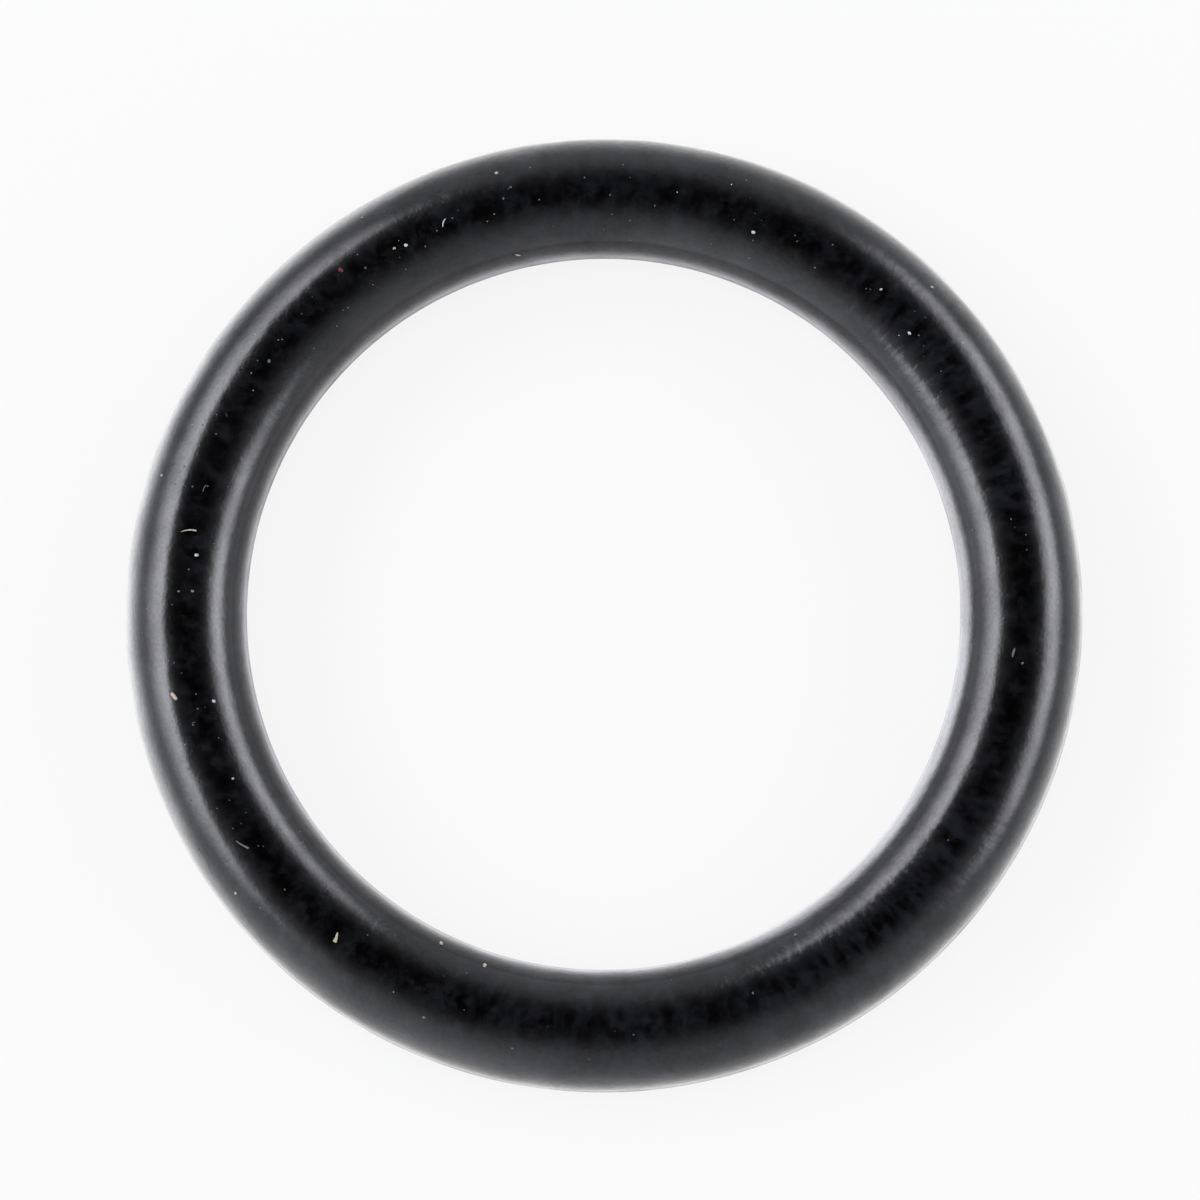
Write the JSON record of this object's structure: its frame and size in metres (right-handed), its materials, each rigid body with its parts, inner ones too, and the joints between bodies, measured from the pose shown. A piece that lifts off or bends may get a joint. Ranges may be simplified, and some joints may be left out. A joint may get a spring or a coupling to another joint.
{
  "type": "rubber o-ring",
  "caption": "Moulded black rubber sealing ring of round section, with a low trimmed parting-line ridge round its inside and its outside.",
  "frame": {"origin": "centre of the ring, halfway through its thickness", "axes": "+Z along the ring's axis; the ring lies flat on its round side, and +X and +Y are any two directions across it"},
  "size_m": [0.0208, 0.0208, 0.0026],
  "materials": {
    "rubber": "smooth moulded black rubber, half gloss, with fine grain and a little dust",
    "dust": "pale specks of dust and short lint lying on the rubber, added as small pieces to the visual model"
  },
  "bodies": {
    "root": {"o_ring": "rubber"}
  },
  "joints": []
}
